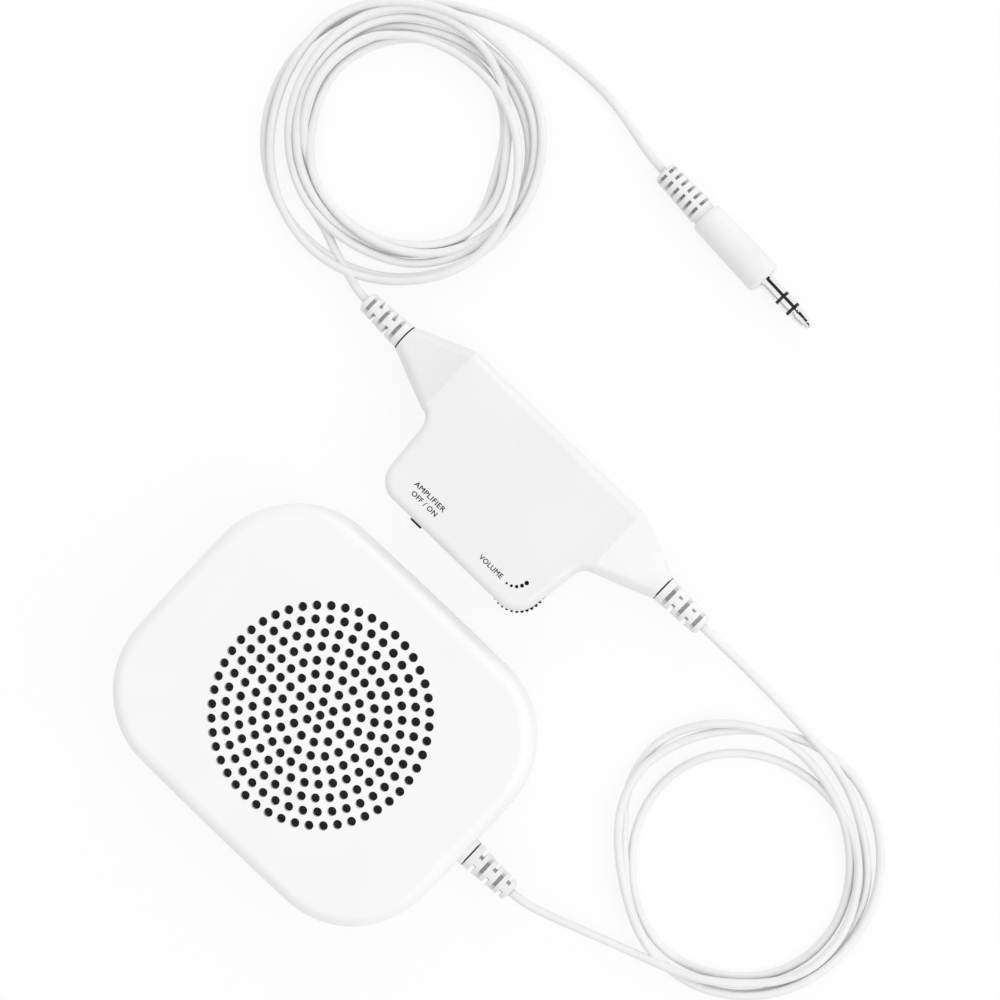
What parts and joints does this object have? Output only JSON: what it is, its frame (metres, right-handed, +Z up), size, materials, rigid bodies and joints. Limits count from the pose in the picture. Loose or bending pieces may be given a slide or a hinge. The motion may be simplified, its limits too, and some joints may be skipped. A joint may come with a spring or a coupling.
{
  "type": "pillow speaker",
  "caption": "Flat loudspeaker pad with a round perforated grille, an amplifier box in its coiled cord, a volume wheel, a slide switch and a stereo jack plug.",
  "frame": {"origin": "centre of the speaker's flat underside, on the surface it lies on", "axes": "+Z up out of the grille, +X from the speaker towards the amplifier box and the plug, the speaker's cord leaves towards -Y"},
  "size_m": [0.1751, 0.2222, 0.017],
  "materials": {
    "shell_white": "satin moulded plastic",
    "amp_white": "satin moulded plastic",
    "relief_white": "soft moulded PVC",
    "cord_white": "soft PVC jacket",
    "knob_black": "satin moulded plastic",
    "cloth_black": "thin woven cloth",
    "gasket_black": "foam ring",
    "cone_black": "formed film",
    "cap_grey": "formed film",
    "coil_copper": "enamelled wire",
    "pressed_steel": "zinc plated",
    "ferrite": "sintered",
    "screw_steel": "zinc plated",
    "board_green": "solder mask",
    "terminal_brown": "phenolic board",
    "chip_black": "moulded package",
    "capacitor_sleeve": "shrink sleeve",
    "resistor_black": "ceramic chip",
    "cell_jacket": "plain film jacket",
    "contact_nickel": "nickel plated spring steel",
    "pot_brown": "phenolic",
    "switch_black": "moulded plastic",
    "plug_metal": "polished nickel plate",
    "insulator_black": "moulded ring"
  },
  "bodies": {
    "housing": {"speaker_front_shell": "shell_white", "speaker_rear_shell": "shell_white", "speaker_screws": "screw_steel", "grille_cloth": "cloth_black", "driver_gasket": "gasket_black", "driver_cone": "cone_black", "dust_cap": "cap_grey", "voice_coil": "coil_copper", "driver_basket": "pressed_steel", "driver_top_plate": "pressed_steel", "driver_magnet": "ferrite", "driver_yoke": "pressed_steel", "driver_pad": "gasket_black", "driver_terminal": "terminal_brown", "speaker_boot": "relief_white", "amp_top_shell": "amp_white", "amp_bottom_shell": "amp_white", "amp_board": "board_green", "amp_chip": "chip_black", "amp_capacitors": "capacitor_sleeve", "amp_resistors": "resistor_black", "amp_screws": "screw_steel", "battery_cell": "cell_jacket", "cell_plate": "contact_nickel", "cell_leaf": "contact_nickel", "volume_pot": "pot_brown", "switch_body": "switch_black", "amp_speaker_boot": "relief_white", "amp_plug_boot": "relief_white", "plug_handle": "relief_white", "plug_sleeve": "plug_metal", "plug_ring": "plug_metal", "plug_insulators": "insulator_black", "plug_tip": "plug_metal", "speaker_lead": "cord_white", "speaker_lead_coil": "cord_white", "speaker_lead_tail": "cord_white", "plug_lead": "cord_white", "plug_lead_coil": "cord_white", "plug_lead_tail": "cord_white"},
    "volume_wheel": {"volume_wheel": "knob_black", "wheel_screw": "screw_steel"},
    "power_switch": {"switch_knob": "knob_black"},
    "battery_door": {"battery_door": "amp_white"}
  },
  "joints": [
    {"name": "volume_turn", "type": "hinge", "parent": "housing", "child": "volume_wheel", "pos_m": [0.04872, -0.01143, 0.0071], "axis": [0, 0, 1], "range_deg": [-135, 135]},
    {"name": "power_slide", "type": "slide", "parent": "housing", "child": "power_switch", "axis": [0.0175, 0.9998, 0], "range_m": [0, 0.002]},
    {"name": "door_slide", "type": "slide", "parent": "housing", "child": "battery_door", "axis": [0.9998, -0.0175, 0], "range_m": [0, 0.008]}
  ]
}
